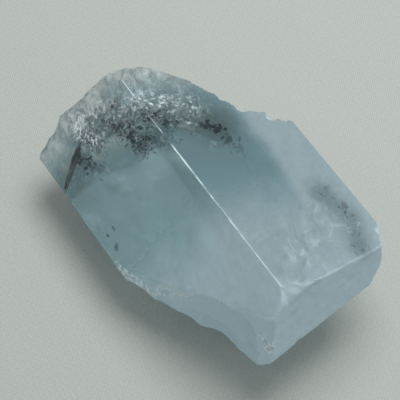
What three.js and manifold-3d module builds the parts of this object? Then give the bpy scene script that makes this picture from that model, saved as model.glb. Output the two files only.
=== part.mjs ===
// A rough aquamarine crystal: a broken length of a six-sided beryl prism, lying on a broken base.
// The long axis of the crystal runs along X. Two prism faces meet at a straight ridge on top,
// and the ends, the front corner and the underside are old fractures.
// Millimetres, +Z up. The origin is on the surface it rests on, below the middle of the stone.
import * as THREE from "three";
import { mergeVertices } from "three/addons/utils/BufferGeometryUtils.js";
import Module from "manifold-3d";

const wasm = await Module();
wasm.setup();

// Driving dimensions
const ridgeHeight = 26; // of the top edge above the surface that the stone rests on
const roll = 15; // degrees that the prism is turned about its long axis, towards -Y
const prismAngle = 60; // degrees between the normals of two neighbouring prism faces
const leftFaceWidth = 22.4; // of the prism face that slopes down to -Y
const rightFaceWidth = 23.1; // of the prism face that slopes down to +Y
const stockLength = 80; // of the prism before its ends are broken off
const knifeSize = 160; // of the blocks that take off what lies beyond a fracture
const shellRings = 24; // facets from pole to pole of a ball that leaves a shell-shaped fracture

const radians = THREE.MathUtils.degToRad;

// A unit vector square to X. Its angle is measured from +Z towards +Y.
const acrossAxis = (degrees) =>
  new THREE.Vector2(Math.sin(radians(degrees)), Math.cos(radians(degrees)));

// The point where a line through `from`, along a face with that normal angle, gets to height z.
function alongFaceTo(from, normalDegrees, z) {
  const along = acrossAxis(normalDegrees + 90);
  return from.clone().addScaledVector(along, (z - from.y) / along.y);
}

// The section of the prism, in Y and Z: the ridge, the two long faces, and the next face on
// either side down to the base.
function prismSection() {
  const rightNormal = prismAngle / 2 - roll;
  const leftNormal = rightNormal - prismAngle;
  const ridge = new THREE.Vector2(0, ridgeHeight);
  const rightEdge = ridge.clone().addScaledVector(acrossAxis(rightNormal + 90), rightFaceWidth);
  const leftEdge = ridge.clone().addScaledVector(acrossAxis(leftNormal - 90), leftFaceWidth);
  const rightFoot = alongFaceTo(rightEdge, rightNormal + prismAngle, 0);
  const leftFoot = alongFaceTo(leftEdge, leftNormal - prismAngle, 0);
  return [ridge, leftEdge, leftFoot, rightFoot, rightEdge];
}

// Flat fractures: a point on each and its outward normal.
const fractures = {
  farEnd: { at: [-26.2, -5.9, 20.1], out: [-0.95, 0.31, -0.04] },
  farTip: { at: [-26.5, -13.2, 12.8], out: [-0.94, -0.34, -0.05] },
  farBevel: { at: [-21.8, 0, 26], out: [-0.28, 0.02, 0.96] },
  farCorner: { at: [-14.2, 13.2, 22.5], out: [-0.64, 0.75, 0.14] },
  farUndercut: { at: [-25, -6, 6], out: [-0.7, -0.15, -0.7] },
  front: { at: [10.9, -11.9, 14.1], out: [0.3, -0.92, 0.26] },
  frontUndercut: { at: [15.3, -12.6, 10.3], out: [0.31, -0.74, -0.6] },
  nearEnd: { at: [29.3, 2, 22.6], out: [0.97, 0.13, 0.2] },
  nearShoulder: { at: [27, 0, 26], out: [0.55, 0.04, 0.83] },
  nearCorner: { at: [25.1, 21.3, 20.2], out: [0.42, 0.9, 0.1] },
  nearUndercut: { at: [30.9, 2, 12.5], out: [0.72, 0.1, -0.68] },
  rightUndercut: { at: [5, 22.6, 16], out: [0.1, 0.8, -0.6] },
};

// Shell-shaped fractures: each is left by a ball of that radius, made `stretch` times as long down
// the slope of the break, and sunk to that depth below the point.
const shells = {
  tipNotch: { at: [-26.8, -12.3, 13.7], out: [-0.8, -0.4, 0.4], radius: 3.4, depth: 0.8, stretch: 2.5 },
  farHollow: { at: [-26, -4, 10], out: [-0.95, 0.2, -0.2], radius: 13, depth: 1.4, stretch: 1.2 },
  cornerFlute: { at: [-10.3, 16.5, 21.6], out: [-0.62, 0.76, 0.15], radius: 5.5, depth: 2, stretch: 3 },
  cornerChip: { at: [-6.9, 19.3, 20.8], out: [-0.6, 0.78, 0.15], radius: 4.5, depth: 1, stretch: 2 },
  cornerNick: { at: [-4.9, 21.1, 20.8], out: [-0.6, 0.78, 0.2], radius: 1.2, depth: 1.9, stretch: 3 },
  frontHollow: { at: [20.6, -9.9, 9.5], out: [0.42, -0.9, 0.1], radius: 16, depth: 2.7, stretch: 1.5 },
  underFront: { at: [4, -15, 5], out: [0.1, -0.75, -0.65], radius: 11, depth: 1.4, stretch: 1.3 },
  underNear: { at: [26, 4, 5], out: [0.75, 0.1, -0.65], radius: 12, depth: 1.3, stretch: 1.1 },
  underRight: { at: [10, 19, 9], out: [0.1, 0.8, -0.6], radius: 17, depth: 1.6, stretch: 1.2 },
  underFar: { at: [-21, 4, 4], out: [-0.7, 0.2, -0.7], radius: 10, depth: 1.2, stretch: 1.4 },
};

// A closed three.js geometry as a manifold-3d solid.
function solidOf(geometry) {
  const bare = geometry.clone();
  bare.deleteAttribute("normal");
  bare.deleteAttribute("uv");
  const merged = mergeVertices(bare, 1e-4);
  return new wasm.Manifold(
    new wasm.Mesh({
      numProp: 3,
      vertProperties: new Float32Array(merged.attributes.position.array),
      triVerts: new Uint32Array(merged.index.array),
    }),
  );
}

// A manifold-3d solid as a three.js geometry with flat faces.
function geometryOf(solid) {
  const mesh = solid.getMesh();
  const geometry = new THREE.BufferGeometry();
  geometry.setAttribute("position", new THREE.BufferAttribute(mesh.vertProperties, 3));
  geometry.setIndex(new THREE.BufferAttribute(mesh.triVerts, 1));
  return geometry;
}

// The unbroken prism, with its section in Y and Z carried along X.
function prismStock() {
  const outline = new THREE.Shape(prismSection());
  const geometry = new THREE.ExtrudeGeometry(outline, { depth: stockLength, bevelEnabled: false });
  geometry.translate(0, 0, -stockLength / 2);
  // The shape's x, y and depth become Y, Z and X.
  geometry.applyMatrix4(new THREE.Matrix4().set(0, 0, 1, 0, 1, 0, 0, 0, 0, 1, 0, 0, 0, 0, 0, 1));
  return solidOf(geometry);
}

// A block whose one face lies on the fracture, covering all that has broken away.
function brokenAway({ at, out }) {
  const normal = new THREE.Vector3(...out).normalize();
  const block = new THREE.BoxGeometry(knifeSize, knifeSize, knifeSize);
  block.translate(0, 0, knifeSize / 2);
  block.applyQuaternion(new THREE.Quaternion().setFromUnitVectors(new THREE.Vector3(0, 0, 1), normal));
  block.translate(...at);
  return solidOf(block);
}

// The ball that leaves a shell-shaped fracture. Its own X goes out of the stone and its Z down
// the slope.
function shellOff({ at, out, radius, depth, stretch }) {
  const normal = new THREE.Vector3(...out).normalize();
  const across = new THREE.Vector3(0, 0, -1).cross(normal).normalize();
  const slope = new THREE.Vector3().crossVectors(normal, across);
  const ball = new THREE.SphereGeometry(radius, shellRings * 2, shellRings);
  ball.scale(1, 1, stretch);
  ball.applyMatrix4(new THREE.Matrix4().makeBasis(normal, across, slope));
  const middle = new THREE.Vector3(...at).addScaledVector(normal, radius - depth);
  ball.translate(middle.x, middle.y, middle.z);
  return solidOf(ball);
}

function crystalSolid() {
  const flatCuts = Object.values(fractures).map(brokenAway);
  const shellCuts = Object.values(shells).map(shellOff);
  return [...flatCuts, ...shellCuts].reduce((stone, cut) => stone.subtract(cut), prismStock());
}

const beryl = new THREE.MeshStandardMaterial({ color: 0x8fb4bf, roughness: 0.25, metalness: 0 });
const crystal = new THREE.Mesh(geometryOf(crystalSolid()), beryl);
crystal.name = "crystal";

// The origin goes below the middle of the stone, on the surface that it rests on.
crystal.geometry.computeBoundingBox();
const box = crystal.geometry.boundingBox;
crystal.position.set(-(box.min.x + box.max.x) / 2, -(box.min.y + box.max.y) / 2, -box.min.z);

const aquamarine = new THREE.Group();
aquamarine.add(crystal);

export default aquamarine;
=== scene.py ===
from math import cos, pi, radians, sin

import bpy
import numpy as np
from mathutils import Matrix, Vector


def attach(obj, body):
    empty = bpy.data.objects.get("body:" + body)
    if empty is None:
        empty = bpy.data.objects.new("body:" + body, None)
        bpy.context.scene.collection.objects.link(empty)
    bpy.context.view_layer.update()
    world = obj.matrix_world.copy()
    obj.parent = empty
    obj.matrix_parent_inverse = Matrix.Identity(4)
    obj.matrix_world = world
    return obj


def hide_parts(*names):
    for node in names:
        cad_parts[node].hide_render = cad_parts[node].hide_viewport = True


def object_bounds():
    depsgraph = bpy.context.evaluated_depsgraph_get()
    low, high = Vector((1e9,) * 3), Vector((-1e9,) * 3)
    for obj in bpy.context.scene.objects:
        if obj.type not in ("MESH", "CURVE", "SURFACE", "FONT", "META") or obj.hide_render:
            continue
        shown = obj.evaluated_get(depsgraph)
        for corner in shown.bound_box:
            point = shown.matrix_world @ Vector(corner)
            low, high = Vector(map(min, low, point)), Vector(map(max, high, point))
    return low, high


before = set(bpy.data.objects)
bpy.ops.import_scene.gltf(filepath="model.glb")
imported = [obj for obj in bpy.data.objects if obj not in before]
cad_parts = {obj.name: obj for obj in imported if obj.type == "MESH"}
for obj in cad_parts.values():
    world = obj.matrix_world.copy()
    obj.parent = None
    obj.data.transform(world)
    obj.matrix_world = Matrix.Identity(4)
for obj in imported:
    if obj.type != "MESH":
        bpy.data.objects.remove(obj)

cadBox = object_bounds()
mm = 0.001    # the stone's sizes below are in millimetres

# The stone's own axes: X along the prism, the ridge at y = 0, the resting face at z = 0.
# leftEdge is where the left prism face ends, which is also the lowest y of the whole stone.
prism = {
    "ridgeHeight": 26.0,
    "roll": 15.0,            # degrees
    "faceTurn": 60.0,        # degrees between the normals of neighbouring faces
    "leftFace": 22.4,
    "rightFace": 23.1,
    "middleX": 2.41,         # the middle of the stone's length, from the same zero as the breaks below
}


def unit(v):
    # v / |v|
    v = np.asarray(v, float)
    return v / np.linalg.norm(v, axis=-1, keepdims=True)


def smooth(low, high, x):
    # 3 t^2 - 2 t^3, with t = (x - low) / (high - low) held to 0..1
    t = np.clip((x - low) / (high - low), 0, 1)
    return t * t * (3 - 2 * t)


def faceNormal(degrees):
    # (0, sin a, cos a): square to the prism's axis, its angle measured from +Z towards +Y
    return np.array([0, sin(radians(degrees)), cos(radians(degrees))])


rightAngle = prism["faceTurn"] / 2 - prism["roll"]
leftAngle = rightAngle - prism["faceTurn"]
ridge = np.array([0, 0, prism["ridgeHeight"]])
leftEdge = ridge + prism["leftFace"] * faceNormal(leftAngle - 90)
rightEdge = ridge + prism["rightFace"] * faceNormal(rightAngle + 90)

# from the stone's own axes to the frame, in metres
shift = np.array([-prism["middleX"], cadBox[0][1] / mm - leftEdge[1], 0])


def toFrame(points):
    # (p + shift) in metres
    return (np.asarray(points, float) + shift) * mm


def latticeNoise(p, size, seed):
    # seeded values at the corners of cubes of that size, blended by w = 3 f^2 - 2 f^3 on each axis
    side = 24
    table = np.random.default_rng(seed).uniform(-1, 1, (side, side, side))
    q = p / size
    cell = np.floor(q).astype(int)
    w = (q - cell) ** 2 * (3 - 2 * (q - cell))
    total = np.zeros(p.shape[:-1])
    for corner in np.ndindex(2, 2, 2):
        i = (cell + corner) % side
        weight = np.prod(np.where(np.array(corner) == 1, w, 1 - w), axis=-1)
        total += weight * table[i[..., 0], i[..., 1], i[..., 2]]
    return total


def cloudNoise(p, size, seed, octaves=4):
    # sum over k of lattice noise of size / 2^k, times 1 / 2^k
    return sum(latticeNoise(p, size / 2 ** k, seed + k) / 2 ** k for k in range(octaves))


def pathDistance(p, path):
    # the least |p - a - t (b - a)| over the path's legs a to b, with
    # t = (p - a).(b - a) / |b - a|^2 held to 0..1
    path = np.array(path, float)
    legs = []
    for a, b in zip(path[:-1], path[1:]):
        t = np.clip((p - a) @ (b - a) / ((b - a) @ (b - a)), 0, 1)
        legs.append(np.linalg.norm(p - a - t[..., None] * (b - a), axis=-1))
    return np.min(legs, axis=0)


def makeObject(name, points, quads, triangles, smoothShading=True):
    # one mesh from whole arrays: points in metres, then four-sided and three-sided faces
    mesh = bpy.data.meshes.new(name)
    corners = np.concatenate((quads.ravel(), triangles.ravel()))
    sizes = np.concatenate((np.full(len(quads), 4), np.full(len(triangles), 3)))
    mesh.vertices.add(len(points))
    mesh.vertices.foreach_set("co", points.astype(np.float32).ravel())
    mesh.loops.add(len(corners))
    mesh.loops.foreach_set("vertex_index", corners.astype(np.int32))
    mesh.polygons.add(len(sizes))
    mesh.polygons.foreach_set("loop_start", (np.cumsum(sizes) - sizes).astype(np.int32))
    mesh.polygons.foreach_set("use_smooth", np.full(len(sizes), smoothShading))
    mesh.update(calc_edges=True)
    mesh.validate()
    piece = bpy.data.objects.new(name, mesh)
    bpy.context.scene.collection.objects.link(piece)
    return piece


breaks = {    # a point on each flat break and its outward normal
    "farEnd": ((-26.2, -5.9, 20.1), (-0.95, 0.31, -0.04)),
    "farTip": ((-26.5, -13.2, 12.8), (-0.94, -0.34, -0.05)),
    "farBevel": ((-21.8, 0, 26), (-0.28, 0.02, 0.96)),
    "farCorner": ((-14.2, 13.2, 22.5), (-0.64, 0.75, 0.14)),
    "farUndercut": ((-25, -6, 6), (-0.7, -0.15, -0.7)),
    "front": ((10.9, -11.9, 14.1), (0.3, -0.92, 0.26)),
    "frontUndercut": ((15.3, -12.6, 10.3), (0.31, -0.74, -0.6)),
    "nearEnd": ((29.3, 2, 22.6), (0.97, 0.13, 0.2)),
    "nearShoulder": ((27, 0, 26), (0.55, 0.04, 0.83)),
    "nearCorner": ((25.1, 21.3, 20.2), (0.42, 0.9, 0.1)),
    "nearUndercut": ((30.9, 2, 12.5), (0.72, 0.1, -0.68)),
    "rightUndercut": ((5, 22.6, 16), (0.1, 0.8, -0.6)),
    "base": ((0, 0, 0), (0, 0, -1)),
}
bigShells = {    # point, outward normal, radius, depth, stretch down the slope
    "tipNotch": ((-26.8, -12.3, 13.7), (-0.8, -0.4, 0.4), 3.4, 0.8, 2.5),
    "farHollow": ((-26, -4, 10), (-0.95, 0.2, -0.2), 13, 1.4, 1.2),
    "cornerFlute": ((-10.3, 16.5, 21.6), (-0.62, 0.76, 0.15), 5.5, 2, 3),
    "cornerChip": ((-6.9, 19.3, 20.8), (-0.6, 0.78, 0.15), 4.5, 1, 2),
    "cornerNick": ((-4.9, 21.1, 20.8), (-0.6, 0.78, 0.2), 1.2, 1.9, 3),
    "frontHollow": ((20.6, -9.9, 9.5), (0.42, -0.9, 0.1), 16, 2.7, 1.5),
    "underFront": ((4, -15, 5), (0.1, -0.75, -0.65), 11, 1.4, 1.3),
    "underNear": ((26, 4, 5), (0.75, 0.1, -0.65), 12, 1.3, 1.1),
    "underRight": ((10, 19, 9), (0.1, 0.8, -0.6), 17, 1.6, 1.2),
    "underFar": ((-21, 4, 4), (-0.7, 0.2, -0.7), 10, 1.2, 1.4),
}
surface = {
    "heart": (1.5, 1.0, 12.5),      # where the rays start
    "columns": 352,                 # rays round the long axis
    "bodyRings": 196,
    "capRings": 38,                 # more rings on each end
    "bodyReach": 27.0,              # how far the body rings go from the heart
    "bodyRadius": 13.0,
    "edgeCrowding": 2.2,            # columns are this much closer at the prism's edges
    "edgeCrowdWidth": 2.0,
    "edgeRound": (0.07, 0.30),      # softness of the edges, along the body and at both ends
    "endStart": (21.0, 29.0),       # the ends begin this far from the middle
    "shellCount": 150,
    "shellRadius": (2.5, 9.0),
    "shellDepth": (0.08, 0.40),
    "chipCount": 90,
    "chipRadius": (0.7, 2.6),
    "chipDepth": (0.03, 0.16),
    "nearCalm": 0.76,               # shells and chips are this much shallower at the near end
    "nearFrom": (18.0, 25.0),       # which begins and is whole this far from the heart
    "nickCount": 26,
    "nickRadius": (0.25, 0.8),
    "nickDepth": (0.02, 0.06),
    "tilt": {"shell": 0.16, "chip": 0.25, "nick": 0.30},    # how far each leans from its face
    "drawnOut": {"shell": (0.8, 2.2), "chip": (0.8, 2.5)},    # and its stretch down the slope
    "baseShare": 0.5,               # of shells on the base, to one on another break
    "chipBand": 0.5,                # how near an edge a chip starts
    "nickBand": 0.25,               # how near the ridge a nick starts
    "brokenFrom": (0.02, 0.3),      # depth under the prism's faces at which the surface is a break
    "wearWidth": 0.20,              # of the worn line on the ridge
    "breakWear": 0.18,              # how worn the other edges are
    "wearEven": 0.85,               # the middle of the wear's noise
    "ridgeBlend": 0.4,              # the right face's painted shade fades in over this much
    "rightBlend": (0.1, 0.6),       # and with how squarely a ray meets that face
    "sharpAngle": 28.0,             # degrees, above which an edge is shaded sharp
    "seed": 7,
}
relief = {    # depth, size and seed of each noise
    "rough": (0.11, 2.6, 11),       # of a break, in and out
    "hackle": (0.05, 0.7, 21),
    "wave": (0.07, 7.0, 31),        # of a prism face
    "striae": (0.018, 0.9, 41),
    "wear": (0.25, 1.6, 51),
    "etching": (0.16, 2.2, 61),     # of the face over the fractures
}


zones = {    # where the stone is marked: a path on its surface and a width
    "window": (((-17.5, -14, 12), (-18.5, -10, 16), (-18, -5, 21), (-12, -1.5, 24.5), (-11.5, 5.5, 24.5),
                (-6, 9.5, 23.6)), 4.4),
    "bright": (((-23, -8, 18), (-20, -5, 21), (-17, -1.5, 24.5), (-14, 4, 25), (-11.5, 7.5, 24)), 2.8),
    "sparkle": (((-21.6, -9, 17), (-17.3, -7.7, 18.3)), 1.2),
    "blob": (((-12.9, 5.6, 24.5), (-12.1, 6.8, 24.2)), 0.9),
    "dark": (((-17, -4.8, 21.2), (-11, -3.1, 22.9)), 1.4),
    "shadow": (((-10.2, -3.8, 22.2), (-7.8, -0.4, 25.6)), 1.3),
    "overRidge": (((-13.6, 0.4, 25.9), (-9.6, 2.8, 25.2)), 0.9),
    "triangle": (((-7.2, 8.2, 23.8), (-5.4, 9.6, 23.4)), 0.75),
    "patch": (((-3.6, 10.2, 23.3), (0.6, 11, 23)), 1.3),
    "brush": (((-18, -11.4, 14.6), (-14.6, -10.2, 15.8)), 1.3),
    "smudge": (((13.5, 17.3, 21.4), (20, 18.9, 20.9), (26, 16.5, 21.4)), 3.0),
    "wisps": (((19, 14.5, 22.2), (21, 8, 23.8), (26, 6, 24)), 4.5),
    "glints": (((1.5, -16.2, 9.8), (9, -14.1, 10.6), (12, -12, 12.9), (20.5, -8.9, 15.8)), 1.0),
    "nearCorner": (((29.3, -5, 18), (31.1, -5, 16), (32.2, -3.2, 19)), 0.7),
}
# the ones that the stone's own material uses
painted = ("window", "bright", "sparkle", "smudge", "wisps", "glints", "nearCorner")


def columnAngles():
    # equal steps of the integral of 1 + c exp(-(s/w)^2) ds round the prism's section, s being the
    # distance to the ridge or the nearer edge; every corner then gets a column of its own
    lean = np.tan(radians(prism["roll"]))
    rightFoot = np.array([0, rightEdge[1] - rightEdge[2] * lean, 0])
    leftFoot = np.array([0, leftEdge[1] + leftEdge[2] * lean, 0])
    corners = np.array([ridge, rightEdge, rightFoot, leftFoot, leftEdge, ridge])
    steps = np.linspace(0, 1, 800, endpoint=False)[:, None]
    walk = np.concatenate([a + (b - a) * steps for a, b in zip(corners[:-1], corners[1:])])
    toCorner = np.linalg.norm(walk[:, None] - corners[None, :], axis=2)
    ridgeAndEdges = [0, 1, 4]
    nearest = toCorner[:, ridgeAndEdges].min(axis=1)
    weight = 1 + surface["edgeCrowding"] * np.exp(-(nearest / surface["edgeCrowdWidth"]) ** 2)
    length = np.linalg.norm(np.diff(walk, axis=0, append=walk[:1]), axis=1)
    travelled = np.concatenate(([0], np.cumsum(weight * length)))
    heart = np.array(surface["heart"])
    angle = np.unwrap(np.arctan2(walk[:, 1] - heart[1], walk[:, 2] - heart[2]))
    angle = np.append(angle, angle[0] + 2 * pi)
    wanted = np.arange(surface["columns"]) / surface["columns"] * travelled[-1]
    columns = np.interp(wanted, travelled, angle)
    for corner in corners[1:5]:
        exact = np.arctan2(corner[1] - heart[1], corner[2] - heart[2])
        turned = angle[0] + (exact - angle[0]) % (2 * pi)
        columns[np.argmin(abs(columns - turned))] = turned
    return columns


def ringAngles():
    # angle from -X: atan2(R, -x) for even x along the body, atan2(R k, reach) for even k on the ends
    reach, radius = surface["bodyReach"], surface["bodyRadius"]
    body = np.arctan2(radius, -np.linspace(-reach, reach, surface["bodyRings"]))
    cap = np.arctan2(radius * np.arange(1, surface["capRings"]) / surface["capRings"], reach)
    return np.concatenate((cap, body, pi - cap[::-1]))


def rayDirections():
    # u(a, b) = (-cos a, sin a sin b, sin a cos b), a from pole to pole and b round the long axis
    a, b = np.meshgrid(ringAngles(), columnAngles(), indexing="ij")
    grid = np.stack((-np.cos(a), np.sin(a) * np.sin(b), np.sin(a) * np.cos(b)), axis=-1)
    poles = np.array([[-1, 0, 0], [1, 0, 0]])
    return np.concatenate((grid.reshape(-1, 3), poles)), grid.shape[:2]


def planeReach(u, planes):
    # t = (at - heart).n / (u.n) for each plane, or very far where the ray leads away from it
    normals = np.array([unit(out) for at, out in planes])
    height = np.array([(np.array(at) - surface["heart"]) @ n for (at, out), n in zip(planes, normals)])
    slope = u @ normals.T
    return np.where(slope > 1e-3, height / np.maximum(slope, 1e-3), 1e3), normals


def carve(reach, u, at, out, radius, depth, stretch=1.0):
    # the near root t of |S (t u - m)| = radius, m being the ball's middle and S its stretch
    out = unit(out)
    across = unit(np.cross((0.02, 0, -1), out))
    slope = np.cross(out, across)
    axes = np.stack((out, across, slope / stretch))
    m = axes @ (np.asarray(at) + out * (radius - depth) - surface["heart"])
    d = u @ axes.T
    a = (d * d).sum(axis=-1)
    b = d @ m
    under = b * b - a * (m @ m - radius ** 2)
    t = (b - np.sqrt(np.maximum(under, 0))) / a
    return np.where((under > 0) & (t > 0) & (t < reach), t, reach)


def softMinimum(reach, soft):
    # m - soft * log(sum of exp(-(t - m) / soft)), m being the least t
    least = reach.min(axis=1)
    return least - soft * np.log(np.exp(-(reach - least[:, None]) / soft[:, None]).sum(axis=1))


def cutSmall(r, u, first, second, gap, normals, faceCount, calm, rng):
    # carves at heart + r u: shells drawn on the breaks, chips along their edges, nicks along the ridge
    heart = np.array(surface["heart"])
    tilt = surface["tilt"]
    isBase = first == len(normals) - 1
    density = np.where(first >= faceCount, 1.0, 0.0) * np.where(isBase, surface["baseShare"], 1)
    for i in rng.choice(len(u), surface["shellCount"], replace=False, p=density / density.sum()):
        out = unit(normals[first[i]] + calm[i] * rng.normal(0, tilt["shell"], 3))
        size = rng.uniform(0, 1) ** 1.5
        radius = np.interp(size, (0, 1), surface["shellRadius"])
        depth = np.interp(size * rng.uniform(0.5, 1), (0, 1), surface["shellDepth"]) * calm[i]
        stretch = rng.uniform(*surface["drawnOut"]["shell"])
        r = carve(r, u, heart + u[i] * r[i], out, radius, depth, stretch)

    breakEdge = (gap < surface["chipBand"]) & ((first >= faceCount) | (second >= faceCount))
    for i in rng.choice(np.flatnonzero(breakEdge), surface["chipCount"], replace=False):
        out = unit(normals[first[i]] + normals[second[i]] + rng.normal(0, tilt["chip"], 3))
        radius, depth = (rng.uniform(*surface[key]) for key in ("chipRadius", "chipDepth"))
        stretch = rng.uniform(*surface["drawnOut"]["chip"])
        r = carve(r, u, heart + u[i] * r[i], out, radius, depth * calm[i], stretch)

    ridgeEdge = (gap < surface["nickBand"]) & (first < 2) & (second < 2)
    for i in rng.choice(np.flatnonzero(ridgeEdge), surface["nickCount"], replace=False):
        out = unit(normals[0] + normals[1] + rng.normal(0, tilt["nick"], 3))
        radius, depth = (rng.uniform(*surface[key]) for key in ("nickRadius", "nickDepth"))
        r = carve(r, u, heart + u[i] * r[i], out, radius, depth)
    return r


def nearPath(p, name):
    # exp(-(distance / width)^2) from the zone's path
    path, width = zones[name]
    return np.exp(-(pathDistance(p, path) / width) ** 2)


def roughen(p, broken):
    # depth = broken (rough + hackle) + (1 - broken) |wave + striae| + etching, each being its relief
    # depth times its noise
    def noise(name, stretched=(1, 1, 1)):
        depth, size, seed = relief[name]
        return depth * latticeNoise(p * stretched, size, seed)

    def clouds(name):
        depth, size, seed = relief[name]
        return depth * abs(cloudNoise(p, size, seed, 3))

    hackle = abs(noise("hackle", (1, 1, 0.35)))
    lines = noise("wave", (0.35, 1, 1)) + noise("striae", (0.03, 1, 1))
    etched = sum(nearPath(p, name) for name in ("bright", "sparkle"))
    return broken * (clouds("rough") + hackle) + (1 - broken) * abs(lines) + etched * clouds("etching")


def stoneSurface():
    # r(u) = soft minimum of the planes' reach, then cut by shells, chips and nicks, then roughened
    rng = np.random.default_rng(surface["seed"])
    heart = np.array(surface["heart"])
    u, grid = rayDirections()
    sideAngles = (leftAngle, rightAngle, leftAngle - prism["faceTurn"], rightAngle + prism["faceTurn"])
    faces = [(at, faceNormal(turn)) for at, turn in zip((ridge, ridge, leftEdge, rightEdge), sideAngles)]
    reach, normals = planeReach(u, faces + list(breaks.values()))
    order = np.argsort(reach, axis=1)[:, :2]
    first, second = order.T
    nearest, further = np.take_along_axis(reach, order, axis=1).T
    gap = further - nearest
    outwards = smooth(*surface["endStart"], abs(u[:, 0] * nearest))
    r = softMinimum(reach, np.interp(outwards, (0, 1), surface["edgeRound"]))
    faceReach = reach[:, :len(faces)].min(axis=1)

    for at, out, radius, depth, stretch in bigShells.values():
        r = carve(r, u, at, out, radius, depth, stretch)
    calm = 1 - surface["nearCalm"] * smooth(*surface["nearFrom"], u[:, 0] * r)
    r = cutSmall(r, u, first, second, gap, normals, len(faces), calm, rng)
    broken = smooth(*surface["brokenFrom"], faceReach - r)
    r = r - roughen(heart + u * r[:, None], broken)
    p = heart + u * r[:, None]
    p[:, 2] = np.maximum(p[:, 2], 0)

    # wear = the larger of exp(-(d/w)^2) at the ridge and a share of it at other edges, times noise
    width = surface["wearWidth"]
    toRight = reach[:, 0] - reach[:, 1]
    onRidge = np.where(first < 2, np.exp(-(toRight / width) ** 2), 0)
    onBreakEdge = surface["breakWear"] * calm * np.exp(-(gap / width) ** 2)
    wearDepth, wearSize, wearSeed = relief["wear"]
    wearNoise = surface["wearEven"] + wearDepth * latticeNoise(p, wearSize, wearSeed)
    wear = np.maximum(onRidge, onBreakEdge) * wearNoise
    blend = surface["ridgeBlend"]
    # painted shade: this marks the right prism face, which the material paints a darker blue to take off
    # the key light falling more squarely on it
    rightSide = smooth(-blend, blend, toRight) * smooth(*surface["rightBlend"], u @ normals[1])
    marks = {"broken": broken, "wear": np.clip(wear, 0, 1), "rightSide": rightSide}
    marks.update({name: nearPath(p, name) for name in zones})
    body = p[:-2].reshape(*grid, 3)
    cell = np.linalg.norm(np.cross(np.gradient(body, axis=0), body - np.roll(body, 1, axis=1)), axis=-1)
    marks["area"] = np.concatenate((cell.ravel(), (0, 0)))
    return p, grid, marks, normals[first]


def coverOver(p, points, grid):
    # |q - heart| - |p - heart|, q being the lowest of the four surface points round the ray through p
    heart = np.array(surface["heart"])
    reach = np.linalg.norm(points[:-2] - heart, axis=1).reshape(grid)
    away = p - heart
    distance = np.linalg.norm(away, axis=1)
    columns = columnAngles()
    turn = (np.arctan2(away[:, 1], away[:, 2]) - columns[0]) % (2 * pi) + columns[0]
    i = np.clip(np.searchsorted(ringAngles(), np.arccos(-away[:, 0] / distance)), 1, grid[0] - 1)
    j = np.searchsorted(columns, turn) % grid[1]
    around = [reach[i - a, (j - b) % grid[1]] for a in (0, 1) for b in (0, 1)]
    return np.min(around, axis=0) - distance


def spindleFaces(rings, columns):
    # quads (i, j), (i + 1, j), (i + 1, j + 1), (i, j + 1) round the grid, and a fan at each pole
    i, j = np.meshgrid(np.arange(rings - 1), np.arange(columns), indexing="ij")
    k = (j + 1) % columns
    near = (i + 1) * columns
    quads = np.stack((i * columns + j, near + j, near + k, i * columns + k), -1)
    j = np.arange(columns)
    k = (j + 1) % columns
    last = (rings - 1) * columns
    farPole, nearPole = rings * columns, rings * columns + 1
    farFan = np.stack((j, k, np.full(columns, farPole)), -1)
    nearFan = np.stack((last + k, last + j, np.full(columns, nearPole)), -1)
    return quads.reshape(-1, 4), np.concatenate((farFan, nearFan))


def makeStone(points, grid, marks):
    # the surface as one spindle, with the marks that its material reads
    quads, fans = spindleFaces(*grid)
    piece = makeObject("stone", toFrame(points), quads, fans)
    for name in ("broken", "wear", "rightSide", *painted):
        layer = piece.data.attributes.new(name, "FLOAT", "POINT")
        layer.data.foreach_set("value", marks[name].astype(np.float32))
    piece.data.set_sharp_from_angle(angle=radians(surface["sharpAngle"]))
    return piece


class Wire:    # a socket that takes part in sums: each operator adds a Math node
    def __init__(self, shader, socket):
        self.shader = shader
        self.socket = socket

    def math(self, operation, *values):
        return self.shader.node("ShaderNodeMath", {"operation": operation}, dict(enumerate(values)))[0]

    def __add__(self, other):
        return self.math("ADD", self, other)

    __radd__ = __add__

    def __sub__(self, other):
        return self.math("SUBTRACT", self, other)

    def __rsub__(self, other):
        return self.math("SUBTRACT", other, self)

    def __mul__(self, other):
        return self.math("MULTIPLY", self, other)

    __rmul__ = __mul__

    def sine(self):
        return self.math("SINE", self)

    def between(self, low, high):    # 0 at low, 1 at high, eased at both
        settings = {"interpolation_type": "SMOOTHSTEP", "clamp": True}
        return self.shader.node("ShaderNodeMapRange", settings, {0: self, 1: low, 2: high, 3: 0, 4: 1})[0]


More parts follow.
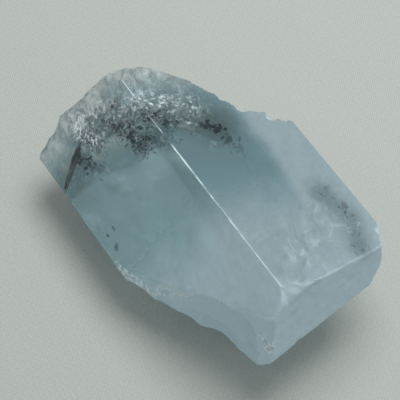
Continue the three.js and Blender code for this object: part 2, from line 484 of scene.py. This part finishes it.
class Shader:
    def __init__(self, name):
        self.material = bpy.data.materials.new(name)
        self.material.use_nodes = True
        self.tree = self.material.node_tree
        self.tree.nodes.clear()

    def node(self, kind, settings=None, sockets=None):
        # any node: its settings are set first, then its sockets get values or links
        made = self.tree.nodes.new(kind)
        for key, value in (settings or {}).items():
            setattr(made, key, value)
        for key, value in (sockets or {}).items():
            if isinstance(value, Wire):
                self.tree.links.new(value.socket, made.inputs[key])
            else:
                made.inputs[key].default_value = value
        return {key: Wire(self, made.outputs[i]) for i in range(len(made.outputs))
                for key in (i, made.outputs[i].name)}

    def place(self, stretch=(1, 1, 1), turn=(0, 0, 0)):
        # object coordinates in millimetres, turned and stretched
        coords = self.node("ShaderNodeTexCoord")["Object"]
        scale = tuple(s / mm for s in stretch)
        turned = self.node("ShaderNodeMapping", None, {"Vector": coords, "Rotation": turn})[0]
        return self.node("ShaderNodeVectorMath", {"operation": "MULTIPLY"}, {0: turned, 1: scale})[0]

    def axes(self):
        # x, y and z in millimetres
        split = self.node("ShaderNodeSeparateXYZ", None, {0: self.place()})
        return split[0], split[1], split[2]

    def noise(self, size, detail=3, stretch=(1, 1, 1), turn=(0, 0, 0), distortion=0.0, roughness=0.5):
        # cloudy values about 0.5; size is in millimetres
        values = {"Vector": self.place(stretch, turn), "Scale": 1 / size, "Detail": detail,
                  "Roughness": roughness, "Distortion": distortion}
        return self.node("ShaderNodeTexNoise", {"noise_dimensions": "3D"}, values)[0]

    def attribute(self, name):    # a mark of the stone's surface
        return self.node("ShaderNodeAttribute", {"attribute_name": name})["Fac"]

    def mixColour(self, factor, a, b):    # a (1 - factor) + b factor
        return self.node("ShaderNodeMix", {"data_type": "RGBA"}, {0: factor, 6: a, 7: b})[2]

    def bump(self, height, distance, strength=1.0, normal=None):
        # height in 0..1 standing for that many millimetres
        sockets = {"Height": height, "Distance": distance * mm, "Strength": strength}
        if normal is not None:
            sockets["Normal"] = normal
        return self.node("ShaderNodeBump", None, sockets)[0]

    def principled(self, **sockets):
        values = {key.replace("_", " "): value for key, value in sockets.items()}
        return self.node("ShaderNodeBsdfPrincipled", None, values)[0]

    def finish(self, surfaceShader, volume=None):
        sockets = {"Surface": surfaceShader}
        if volume is not None:
            sockets["Volume"] = volume
        self.node("ShaderNodeOutputMaterial", None, sockets)
        return self.material


def colour(r, g, b):
    return (r, g, b, 1.0)


aqua = {
    "clear": colour(0.93, 0.97, 0.98),
    "rimGrey": colour(0.80, 0.88, 0.86),
    "deepBlue": colour(0.32, 0.53, 0.59),
    "paleBlue": colour(0.53, 0.69, 0.75),
    # the right face's two blues are painted darker than the left's, as painted shade against the key light
    # on that face
    "deepBlueRightShaded": colour(0.22, 0.38, 0.44),
    "paleBlueRightShaded": colour(0.36, 0.47, 0.51),
    # painted light: the lighter blue of the near end's lower breaks, which face away from the key
    "endBlueLit": colour(0.61, 0.80, 0.88),
    "frost": colour(0.84, 0.92, 0.95),
    # the white of the ridge's real wear, also used for the painted glints
    "worn": colour(0.85, 0.97, 1.0),
    "ior": 1.577,
    "absorbColour": colour(0.22, 0.56, 0.62),
    "absorbDensity": 25.0,         # per metre
    "hazeLow": 0.40,               # how milky the far end is
    "hazeHigh": 0.66,              # and the near end
    "hazeOnBreaks": 0.20,          # more on the near end's breaks
    "cloudy": {"pale": 0.30, "wisps": 0.45, "rim": 1.1},    # how uneven the haze is
    "opened": {"window": 0.9, "smudge": 0.5, "glints": 0.45, "nearCorner": 0.6},    # haze taken off
    "flecks": (0.24, 0.38),        # haze in the bright band, coarse and fine
    "paintedGlints": {"glints": 1.5, "nearCorner": 2.0, "sparkle": 0.9},    # painted glints: white specks painted where the stone glints
    "endShare": 0.8,               # how far the near end's lower breaks are painted a lighter blue, as painted light where the key barely reaches
    "shoulder": (22.5, 25.5),      # height above which the lit top keeps its own colour and the painted light stops
    "wispWhite": 0.35,             # how white the wisps are
    "polish": 0.16,                # roughness of a clean face
    "dull": {"fine": 0.10, "broken": 0.26, "worn": 0.25},    # and what each adds
    "milkyDull": 0.05,
}


def stoneMaterial():
    # clear and milky shaders mixed by (haze + wear + painted glints) * (1 - inside), round an absorbing
    # volume
    s = Shader("aquamarine")
    x, y, z = s.axes()
    marks = {name: s.attribute(name) for name in ("broken", "wear", "rightSide", *painted)}
    broken, bright, wisps = marks["broken"], marks["bright"], marks["wisps"]
    clouds = s.noise(11, 3, distortion=0.6)
    grain = s.noise(0.7, 4, distortion=0.4, roughness=0.6)
    crackle = s.noise(2.1, 5, stretch=(0.6, 1, 1), turn=(0, 0, 0.6), distortion=1.1, roughness=0.62)
    strip = (y + 3 * (clouds - 0.5)).between(8.5, 13.5)
    along = (x + 10 * (clouds - 0.5) - 0.1 * y).between(-4, 18)
    marks["pale"] = pale = (along + strip).between(0, 1)
    marks["rim"] = rim = 1 - (x + 6 * (clouds - 0.5) - 0.15 * y).between(-25, -16)

    def shares(key):
        # the sum of each mark times its share
        return sum(share * marks[name] for name, share in aqua[key].items())

    coarse, fineFlecks = aqua["flecks"]
    haze = aqua["hazeLow"] + (aqua["hazeHigh"] - aqua["hazeLow"]) * pale
    haze = haze + (crackle - 0.5) * shares("cloudy")
    haze = haze * (1 - shares("opened").between(0, 1))
    haze = haze + bright * (coarse * crackle.between(0.45, 0.62) + fineFlecks * grain.between(0.51, 0.62))
    haze = haze + aqua["hazeOnBreaks"] * broken * pale
    threads = s.noise(0.5, 4, stretch=(0.15, 1, 1)).between(0.34, 0.64)
    ridgeWear = marks["wear"].between(0.25, 0.75) * threads
    inside = s.node("ShaderNodeNewGeometry")["Backfacing"]
    # painted highlights: white specks over the glints, the near corner and the sparkle zone stand in for
    # glints of light
    glintSpecks = s.noise(0.55, 3, stretch=(0.25, 1, 1), turn=(0, 0.5, 0.9), distortion=0.5)
    paintedGlints = shares("paintedGlints") * glintSpecks.between(0.49, 0.56)
    factor = (haze + ridgeWear + paintedGlints).between(0.0, 1.0) * (1 - inside)

    leftBody = s.mixColour(pale, aqua["deepBlue"], aqua["paleBlue"])
    # painted shade: the right face takes the darker copy of the body colour
    rightBodyShaded = s.mixColour(pale, aqua["deepBlueRightShaded"], aqua["paleBlueRightShaded"])
    body = s.mixColour(marks["rightSide"], leftBody, rightBodyShaded)
    body = s.mixColour(rim, body, aqua["rimGrey"])
    # painted light: the near end's breaks below the top are lightened, as they get little of the key
    endLightMask = broken * pale * (1 - z.between(*aqua["shoulder"]))
    body = s.mixColour(aqua["endShare"] * endLightMask, body, aqua["endBlueLit"])
    white = bright * grain.between(0.42, 0.60) + wisps * crackle.between(0.5, 0.66) * aqua["wispWhite"]
    body = s.mixColour(white.between(0, 1), body, aqua["frost"])
    # the worn ridge's white, and the white of the painted glints
    body = s.mixColour((ridgeWear + paintedGlints).between(0, 1), body, aqua["worn"])

    striae = s.noise(0.5, 2, stretch=(0.03, 1, 1))
    pits = s.noise(1.1, 5, roughness=0.65)
    fine = s.noise(0.35, 3)
    normal = s.bump(striae, 0.012, 0.5)
    normal = s.bump(pits * broken, 0.15, 0.5, normal)
    normal = s.bump(crackle * (bright + 0.7 * rim).between(0, 1), 0.25, 0.5, normal)
    normal = s.bump(fine, 0.01, 0.35, normal)
    dull = aqua["dull"]
    polish = aqua["polish"] + dull["fine"] * fine + dull["broken"] * broken + dull["worn"] * ridgeWear

    clear = s.principled(Base_Color=aqua["clear"], Roughness=polish, IOR=aqua["ior"],
                         Transmission_Weight=1.0, Normal=normal)
    milky = s.principled(Base_Color=body, Roughness=polish + aqua["milkyDull"], IOR=aqua["ior"],
                         Normal=normal)
    mixed = s.node("ShaderNodeMixShader", None, {0: factor, 1: clear, 2: milky})[0]
    volume = s.node("ShaderNodeVolumeAbsorption", None,
                    {"Color": aqua["absorbColour"], "Density": aqua["absorbDensity"]})[0]
    return s.finish(mixed, volume)


sealed = {
    "leastCover": 0.04,    # between a sealed piece and the surface
    "jitter": 0.12,        # how far each is moved off its place
    "thinness": 9,         # of a lens, its radius to half its thickness
    "torn": (-0.55, 0.45),    # how uneven a lens's rim is
    "seed": 90,
}


def pickUnder(shape, zone, count, depth, rng):
    # surface points drawn with chance zone * area, each moved by depth against its face's normal
    points, grid, marks, out = shape
    chance = marks[zone] * marks["area"]
    picked = rng.choice(len(points), count, p=chance / chance.sum())
    jitter = rng.normal(0, sealed["jitter"], (count, 3))
    return points[picked] - out[picked] * rng.uniform(*depth, (count, 1)) + jitter


def waferMesh(centre, facing, radius, stretch, rng, rim=7):
    # closed lenses: apexes at centre +- facing * radius / thinness, and a rim at
    # radius * (1 + noise) * (stretch * cos k, sin k) in the lens's plane
    count = len(centre)
    across = unit(np.cross(facing, rng.normal(size=(count, 3))))
    along = np.cross(facing, across)
    k = np.linspace(0, 2 * pi, rim, endpoint=False)
    reach = radius[:, None] * (1 + rng.uniform(*sealed["torn"], (count, rim)))
    edge = centre[:, None] + (reach * np.cos(k) * stretch)[..., None] * across[:, None]
    edge = edge + (reach * np.sin(k))[..., None] * along[:, None]
    apex = facing * radius[:, None] / sealed["thinness"]
    points = np.concatenate((edge, (centre + apex)[:, None], (centre - apex)[:, None]), axis=1)
    i = np.arange(rim)
    j = (i + 1) % rim
    front = np.stack((i, j, np.full(rim, rim)), -1)
    back = np.stack((j, i, np.full(rim, rim + 1)), -1)
    return points, np.empty((0, 4), int), np.concatenate((front, back))


def rodMesh(start, end, radius, bow, rng, rings=7, sides=5):
    # closed tapered rods: the axis is start + (end - start) t + 4 bow t (1 - t), the radius is
    # radius * sqrt(4 t (1 - t)), for t from end to end
    count = len(start)
    t = np.linspace(0, 1, rings + 2)[1:-1, None]
    b = np.linspace(0, 2 * pi, sides, endpoint=False)[:, None]
    axis = (end - start)[:, None]
    middle = start[:, None] + axis * t + bow[:, None] * 4 * t * (1 - t)
    along = unit(end - start)
    side = unit(np.cross(rng.normal(size=(count, 3)), along))
    up = np.cross(along, side)
    circle = np.sin(b) * side[:, None] + np.cos(b) * up[:, None]
    swell = radius[:, None, None, None] * np.sqrt(4 * t * (1 - t))[:, :, None]
    body = middle[:, :, None] + circle[:, None] * swell
    points = np.concatenate((body.reshape(count, -1, 3), start[:, None], end[:, None]), axis=1)
    return points, *spindleFaces(rings, sides)


def joinSealed(name, shape, points, quads, triangles, smoothShading=True):
    # one mesh of the lenses or rods whose every point has the least cover: faces + k * n for number k
    cover = coverOver(points.reshape(-1, 3), *shape[:2]).reshape(points.shape[:2])
    kept = points[cover.min(axis=1) > sealed["leastCover"]]
    firsts = np.arange(len(kept))[:, None, None] * kept.shape[1]
    corners = (quads + firsts).reshape(-1, 4), (triangles + firsts).reshape(-1, 3)
    return makeObject(name, toFrame(kept.reshape(-1, 3)), *corners, smoothShading)


def inclusionMaterial(name, tint, metallic, roughness):
    # tint from 0.6 to 1 of itself and roughness + 0.15 n, n being a noise
    s = Shader(name)
    patchy = s.noise(0.6, 3)
    darker = tuple(0.6 * v for v in tint[:3]) + (1,)
    tone = s.mixColour(patchy.between(0.3, 0.7), darker, tint)
    return s.finish(s.principled(Base_Color=tone, Metallic=metallic, Roughness=roughness + 0.15 * patchy))


flakes = {    # zone, how many, radius, depth below the surface, stretch
    "silverFlakes": (
        ("bright", 1000, (0.04, 0.46), (0.3, 4.0), 3.0),
        ("sparkle", 460, (0.04, 0.52), (0.10, 1.8), 3.0),
        ("blob", 110, (0.06, 0.40), (0.2, 1.8), 2.0),
        ("dark", 230, (0.05, 0.26), (0.3, 3.0), 2.2),
        ("shadow", 90, (0.05, 0.22), (0.3, 3.0), 2.0),
        ("overRidge", 80, (0.05, 0.28), (0.2, 2), 2.0),
        ("glints", 200, (0.05, 0.34), (0.06, 0.6), 3.0),
        ("smudge", 40, (0.05, 0.25), (0.4, 3), 2.0),
        ("nearCorner", 90, (0.05, 0.30), (0.06, 0.6), 2.5),
    ),
    "darkFlakes": (
        ("dark", 520, (0.04, 0.27), (0.3, 3.2), 3.2),
        ("shadow", 440, (0.04, 0.27), (0.3, 3.2), 3.2),
        ("overRidge", 210, (0.04, 0.25), (0.3, 2.2), 3.0),
        ("triangle", 150, (0.06, 0.30), (0.3, 1.5), 3),
        ("patch", 60, (0.06, 0.30), (0.5, 2.5), 3.0),
        ("bright", 260, (0.04, 0.24), (0.4, 4.0), 3.0),
        ("sparkle", 50, (0.05, 0.25), (0.4, 2.5), 2.4),
        ("brush", 230, (0.04, 0.22), (0.4, 2.4), 3.6),
        ("smudge", 110, (0.06, 0.36), (0.8, 3.5), 3.2),
    ),
    "smallness": 3,              # radius = least + (most - least) * chance ^ this
    "facing": (0.3, 0, 0.7),     # the way they lean to
    "scatter": (1, 0.8, 1),      # and how far from it
}
specks = {    # centre and radius: the single dark ones
    "places": (
        (9.3, 5.2, 24.3, 0.34), (10.8, 6.0, 24.1, 0.40), (10.0, 5.5, 24.1, 0.26),
        (4.8, 8.9, 23.3, 0.24), (8.9, 8.7, 23.3, 0.20), (12.5, 10.3, 22.9, 0.28),
        (-4.2, -12.8, 12.3, 0.34), (-2.6, -12.5, 12.6, 0.30), (-1.3, -14.0, 11.0, 0.42),
        (-3.9, -14.0, 11.1, 0.30), (18.2, 14.3, 21.8, 0.80), (19.0, 14.4, 21.7, 0.50),
        (12.7, 17.3, 20.5, 0.50), (12.7, 19.5, 19.9, 0.55), (17.3, 19.7, 19.9, 0.50),
        (19.4, 19.6, 19.9, 0.60), (21.5, 20.1, 19.9, 0.45), (28.1, 17.6, 20.4, 0.45),
        (27.0, 17.9, 20.3, 0.28), (-7.6, 8.5, 22.9, 0.40), (-5.5, 8.8, 22.9, 0.35),
        (-22.1, -2.9, 22.1, 0.55), (-20.2, -2.7, 22.3, 0.45), (-20.1, -1.9, 23.0, 0.40),
        (-2.8, 9.5, 22.4, 0.60), (-0.5, 10.4, 22.2, 0.55), (28.6, 15.6, 21.4, 0.34),
        (4.9, -8.3, 17.0, 0.20),
    ),
    "stretch": 1.7,
    "facing": (0.3, -0.2, 1.0),
    "lean": 0.35,    # how far each turns from that
}


def makeFlakes(shape, rng):
    # lenses drawn under each zone, facing unit(noise * scatter + facing); the dark ones end with the specks
    meshes = {}
    for name in ("silverFlakes", "darkFlakes"):
        centre, radius, stretch = [], [], []
        for zone, count, sizes, depth, longer in flakes[name]:
            centre.append(pickUnder(shape, zone, count, depth, rng))
            chance = rng.uniform(0, 1, count) ** flakes["smallness"]
            radius.append(sizes[0] + (sizes[1] - sizes[0]) * chance)
            stretch.append(rng.uniform(1, longer, (count, 1)))
        if name == "darkFlakes":
            places = np.array(specks["places"])
            centre.append(places[:, :3])
            radius.append(places[:, 3])
            stretch.append(np.full((len(places), 1), specks["stretch"]))
        centre, radius, stretch = (np.concatenate(part) for part in (centre, radius, stretch))
        facing = unit(rng.normal(0, 1, centre.shape) * flakes["scatter"] + flakes["facing"])
        if name == "darkFlakes":
            lean = rng.normal(0, specks["lean"], places[:, :3].shape)
            facing[-len(places):] = unit(lean + specks["facing"])
        mesh = waferMesh(centre, facing, radius, stretch, rng)
        meshes[name] = joinSealed(name, shape, *mesh, False)
    return meshes


veils = {    # large thin milky lenses: zone, how many, radius, depth, stretch
    "layers": (
        ("bright", 46, (0.5, 1.9), (0.4, 4.5), 1.8),
        ("window", 24, (0.5, 1.7), (0.5, 4.5), 1.8),
        ("wisps", 26, (0.8, 2.6), (0.6, 5), 2.2),
        ("smudge", 14, (0.5, 1.5), (0.5, 4), 2.0),
    ),
    "size": 0.8,             # of the radii above
    "facing": (0.2, 0, 1.2),
    "rim": 15,
    "tint": colour(0.80, 0.87, 0.88),
    "roughness": 0.4,
    "alpha": 0.55,
}


def veilMaterial():
    # a plain look whose alpha is the veils' own times a torn noise
    s = Shader("milkyVeil")
    torn = s.noise(0.9, 4, distortion=0.8).between(0.40, 0.62)
    look = s.principled(Base_Color=veils["tint"], Roughness=veils["roughness"], Alpha=torn * veils["alpha"])
    return s.finish(look)


def makeVeils(shape, rng):
    # lenses drawn under each zone, facing unit(noise + facing)
    centre, radius, stretch = [], [], []
    for zone, count, sizes, depth, longer in veils["layers"]:
        centre.append(pickUnder(shape, zone, count, depth, rng))
        radius.append(rng.uniform(*sizes, count))
        stretch.append(rng.uniform(1, longer, (count, 1)))
    centre, radius, stretch = (np.concatenate(part) for part in (centre, radius, stretch))
    facing = unit(rng.normal(0, 1, centre.shape) + veils["facing"])
    mesh = waferMesh(centre, facing, radius * veils["size"], stretch, rng, veils["rim"])
    return {"veils": joinSealed("veils", shape, *mesh)}


rods = {    # zone, how many, length, radius, depth, lean towards the long axis
    "silverNeedles": (
        ("bright", 220, (0.4, 2.0), (0.012, 0.03), (0.3, 3.0), 1.0),
        ("sparkle", 90, (0.3, 1.3), (0.015, 0.035), (0.15, 1.6), 0.6),
        ("dark", 120, (0.5, 3.2), (0.012, 0.03), (0.3, 2.5), 0.8),
        ("shadow", 40, (0.5, 2.0), (0.012, 0.03), (0.3, 2.5), 0.8),
        ("brush", 60, (0.5, 2.0), (0.012, 0.03), (0.2, 1.2), 1.5),
        ("wisps", 60, (0.8, 3.0), (0.012, 0.035), (0.3, 2.5), 1.5),
        ("nearCorner", 60, (0.5, 1.7), (0.02, 0.05), (0.06, 0.5), 0.4),
        ("glints", 50, (0.3, 1.2), (0.02, 0.045), (0.1, 0.4), 1.0),
    ),
    "darkNeedles": (
        ("brush", 150, (0.6, 2.4), (0.015, 0.04), (0.3, 1.8), 2.5),
        ("dark", 110, (0.4, 1.6), (0.015, 0.035), (0.3, 2.5), 0.8),
        ("shadow", 90, (0.4, 1.6), (0.015, 0.035), (0.3, 2.5), 0.8),
    ),
    "bow": 0.08,    # how far a rod's middle is off the line
}
streaks = {    # straight bright cracks: two ends and a radius each
    "places": (
        (-21.0, -4.0, 21.5, -17.0, -3.3, 22.1, 0.09),
        (-13.0, -4.3, 20.8, -10.8, 0.9, 25.1, 0.05),
        (-9.9, -3.4, 21.5, -10.9, 2.0, 24.6, 0.045),
        (-16.5, 10.9, 22.7, -15.1, 10.6, 22.7, 0.08),
        (-20.3, -5.2, 19.9, -17.0, -2.0, 23.2, 0.05),
        (-19.5, -8.8, 16.6, -17.2, -6.9, 18.5, 0.06),
    ),
}


def makeNeedles(shape, rng):
    # rods of centre +- heading * length / 2, heading = unit(noise + (lean, 0, 0)), then the streaks
    meshes = {}
    for name in ("silverNeedles", "darkNeedles"):
        start, end, radius = [], [], []
        for zone, count, length, thick, depth, lean in rods[name]:
            middle = pickUnder(shape, zone, count, depth, rng)
            heading = unit(rng.normal(size=(count, 3)) + (lean, 0, 0))
            half = heading * rng.uniform(*length, (count, 1)) / 2
            start.append(middle - half)
            end.append(middle + half)
            radius.append(rng.uniform(*thick, count))
        if name == "silverNeedles":
            places = np.array(streaks["places"])
            start.append(places[:, :3])
            end.append(places[:, 3:6])
            radius.append(places[:, 6])
        start, end, radius = (np.concatenate(part) for part in (start, end, radius))
        bow = rng.normal(0, rods["bow"], start.shape)
        meshes[name] = joinSealed(name, shape, *rodMesh(start, end, radius, bow, rng))
    return meshes


sliver = {    # the long dark blade by the left edge and its fibres
    "start": (-19.6, -9.9, 15.0),
    "end": (-16.9, -15.0, 9.6),
    "bow": (-0.25, 0.10, 0.25),
    "bowSpread": 0.06,
    "spread": (0.42, 0.16, 0.16),
    "endSpread": 0.6,                 # of the spread at the start
    "slide": 0.16,                    # how far a fibre may be moved along the blade, of its length
    "radius": (0.02, 0.10),
    "sliverDark": {"count": 90, "lift": (0, 0, 0), "thickness": 1.0},
    "sliverPale": {"count": 26, "lift": (0.1, -0.16, 0.16), "thickness": 0.5},
}


def makeSliver(shape, rng):
    # rods from start + lift + spread * noise + slide * noise * blade to the same round the end
    meshes = {}
    blade = np.array(sliver["end"]) - sliver["start"]
    for name in ("sliverDark", "sliverPale"):
        fibres = sliver[name]
        count = fibres["count"]
        slide = rng.normal(0, sliver["slide"], (2, count, 1)) * blade
        startSpread = rng.normal(0, 1, (count, 3)) * sliver["spread"]
        endSpread = rng.normal(0, sliver["endSpread"], (count, 3)) * sliver["spread"]
        start = np.array(sliver["start"]) + fibres["lift"] + startSpread + slide[0]
        end = np.array(sliver["end"]) + fibres["lift"] + endSpread + slide[1]
        radius = rng.uniform(*sliver["radius"], count) * fibres["thickness"]
        bow = np.array(sliver["bow"]) + rng.normal(0, sliver["bowSpread"], (count, 3))
        meshes[name] = joinSealed(name, shape, *rodMesh(start, end, radius, bow, rng))
    return meshes


floorLook = {
    "size": 2.4,
    "colour": colour(0.625, 0.65, 0.605),
    # the darker colour painted in the weave's hollows, as painted shade
    "valleyShade": colour(0.50, 0.525, 0.49),
    "threads": 0.55,      # millimetres from thread to thread
    "wander": 2.0,        # of the threads, in radians
    "relief": 0.10,       # millimetres
    "reliefStrength": 0.8,
    "weaveShare": 0.55,   # of the tone that is painted shade in the weave's hollows, the rest being random noise
    "roughness": 0.9,
}


def makeFloor():
    # height 0.5 + 0.3 w + 0.4 n, with w = sin(2 pi x / threads + wander n) sin(2 pi y / threads)
    half = floorLook["size"] / 2
    corners = np.array([[-half, -half, 0], [half, -half, 0], [half, half, 0], [-half, half, 0]])
    floor = makeObject("floor", corners, np.array([[0, 1, 2, 3]]), np.empty((0, 3), int))
    s = Shader("floorCloth")
    x, y = s.axes()[:2]
    turn = 2 * pi / floorLook["threads"]
    weave = (x * turn + floorLook["wander"] * s.noise(1.6, 3)).sine() * (y * turn).sine()
    height = 0.5 + 0.3 * weave + 0.4 * s.noise(0.8, 3)
    normal = s.bump(height, floorLook["relief"], floorLook["reliefStrength"])
    share = floorLook["weaveShare"]
    # painted shade: where the weave is low the cloth is painted darker, with a random noise tone besides
    shade = share * (0.5 + 0.5 * weave) + (1 - share) * s.noise(0.5, 2)
    cloth = s.mixColour(shade.between(0.2, 0.8), floorLook["valleyShade"], floorLook["colour"])
    s.finish(s.principled(Base_Color=cloth, Roughness=floorLook["roughness"], Normal=normal))
    floor.data.materials.append(s.material)


light = {
    "sky": colour(0.93, 0.98, 1.0),
    "skyStrength": 0.36,
    "keyDirection": (-0.12, 0.30, 0.95),
    "keyDistance": 0.37,
    "keySize": 0.26,
    "keyPower": 0.83,
}


def makeLights():
    # one soft disk along keyDirection, facing the stone, and an even sky
    world = bpy.data.worlds.new("softSky")
    world.use_nodes = True
    backdrop = world.node_tree.nodes["Background"]
    backdrop.inputs["Color"].default_value = light["sky"]
    backdrop.inputs["Strength"].default_value = light["skyStrength"]
    bpy.context.scene.world = world
    key = bpy.data.lights.new("key", "AREA")
    key.shape = "DISK"
    key.size = light["keySize"]
    key.energy = light["keyPower"]
    lamp = bpy.data.objects.new("key", key)
    towards = Vector(light["keyDirection"]).normalized()
    lamp.location = towards * light["keyDistance"]
    lamp.rotation_euler = towards.to_track_quat("Z", "Y").to_euler()
    bpy.context.scene.collection.objects.link(lamp)


view = {
    "azimuth": 57.0,      # degrees round from looking along +Y
    "elevation": 58.0,
    "lens": 140.0,
    "sensor": 36.0,
    "nearest": 0.01,
    "distance": 0.2683,
    "aim": (-0.0024, -0.0017, 0.0140),
}


def makeCamera():
    # at aim + distance * (sin a cos e, -cos a cos e, sin e), a being the azimuth and e the elevation
    around, up = radians(view["azimuth"]), radians(view["elevation"])
    back = Vector((sin(around) * cos(up), -cos(around) * cos(up), sin(up)))
    camera = bpy.data.objects.new("camera", bpy.data.cameras.new("camera"))
    camera.data.lens = view["lens"]
    camera.data.sensor_width = view["sensor"]
    camera.data.clip_start = view["nearest"]
    camera.location = Vector(view["aim"]) + back * view["distance"]
    camera.rotation_euler = back.to_track_quat("Z", "Y").to_euler()
    bpy.context.scene.collection.objects.link(camera)
    bpy.context.scene.camera = camera


def setLook():
    # plain tones, and bounces enough for light to cross the stone and what is in it
    scene = bpy.context.scene
    scene.view_settings.view_transform = "Standard"
    scene.cycles.max_bounces = 16
    scene.cycles.transmission_bounces = 14
    scene.cycles.transparent_max_bounces = 16
    scene.cycles.use_denoising = True
    scene.cycles.sample_clamp_indirect = 4.0


makeCamera()
setLook()
makeLights()
makeFloor()
print("stage ready")

shape = stoneSurface()
stone = makeStone(*shape[:3])
stone.data.materials.append(stoneMaterial())
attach(stone, "root")
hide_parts("crystal")
print("stone:", len(stone.data.polygons), "faces")

looks = {
    "silver": inclusionMaterial("silverFracture", colour(0.88, 0.975, 1.0), 0.2, 0.2),
    "dark": inclusionMaterial("darkFracture", colour(0.012, 0.060, 0.085), 0.0, 0.5),
    "veil": veilMaterial(),
    "brown": inclusionMaterial("sliverBrown", colour(0.010, 0.020, 0.021), 0.0, 0.5),
    "pale": inclusionMaterial("sliverPale", colour(0.60, 0.67, 0.64), 0.0, 0.3),
}
wearing = {
    "silverFlakes": "silver",
    "silverNeedles": "silver",
    "darkFlakes": "dark",
    "darkNeedles": "dark",
    "sliverDark": "brown",
    "sliverPale": "pale",
    "veils": "veil",
}
rng = np.random.default_rng(sealed["seed"])
for make in (makeFlakes, makeVeils, makeNeedles, makeSliver):
    for name, piece in make(shape, rng).items():
        piece.data.materials.append(looks[wearing[name]])
        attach(piece, "root")
        print(name + ":", len(piece.data.polygons), "faces")
